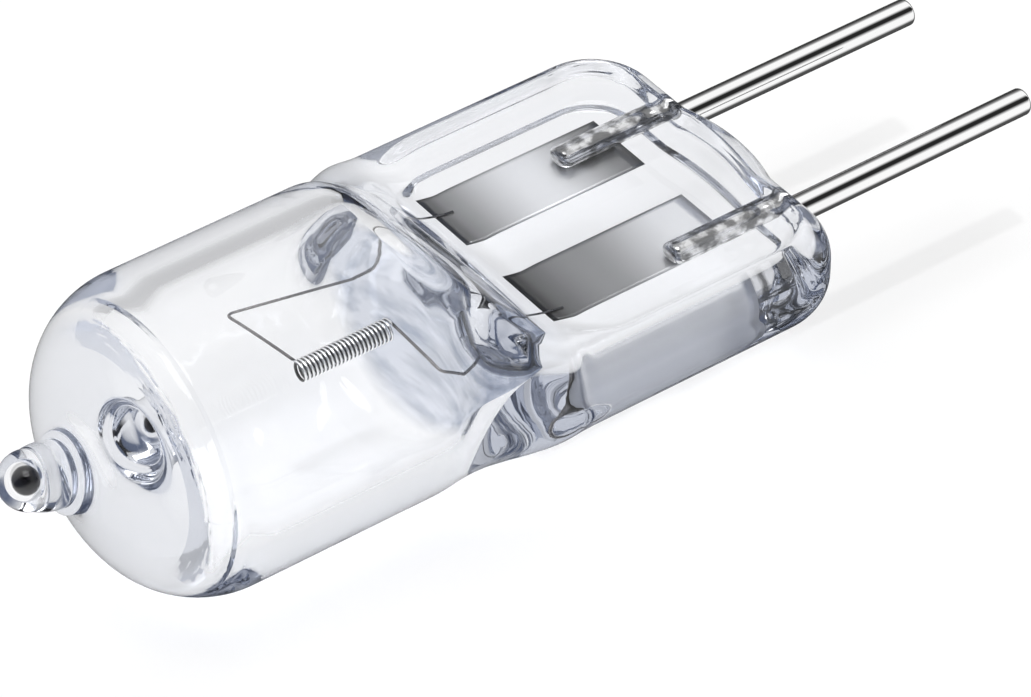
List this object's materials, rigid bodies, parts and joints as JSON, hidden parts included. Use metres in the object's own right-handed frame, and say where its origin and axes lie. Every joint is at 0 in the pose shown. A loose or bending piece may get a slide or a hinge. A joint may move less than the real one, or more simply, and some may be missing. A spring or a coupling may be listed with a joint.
{
  "type": "halogen capsule bulb",
  "caption": "Clear quartz capsule lamp with a round bulb, an axial coil filament, a sealed exhaust tip, a flat press with sealing foils and straight contact pins.",
  "frame": {"origin": "on the lamp's axis, midway between the contact pins, in the plane where they leave the glass", "axes": "+X along the lamp's axis towards the pins' free ends, +Y from the right pin to the left pin, +Z square to the press's broad face"},
  "size_m": [0.0402, 0.0142, 0.0113],
  "materials": {
    "quartz_glass": "clear, fire polished",
    "tungsten_wire": "dark grey, drawn wire",
    "molybdenum_foil": "satin",
    "pin_metal": "polished molybdenum"
  },
  "bodies": {
    "root": {"glass_envelope": "quartz_glass", "filament": "tungsten_wire", "seal_foil_left": "molybdenum_foil", "seal_foil_right": "molybdenum_foil", "contact_pin_left": "pin_metal", "contact_pin_right": "pin_metal"}
  },
  "joints": []
}
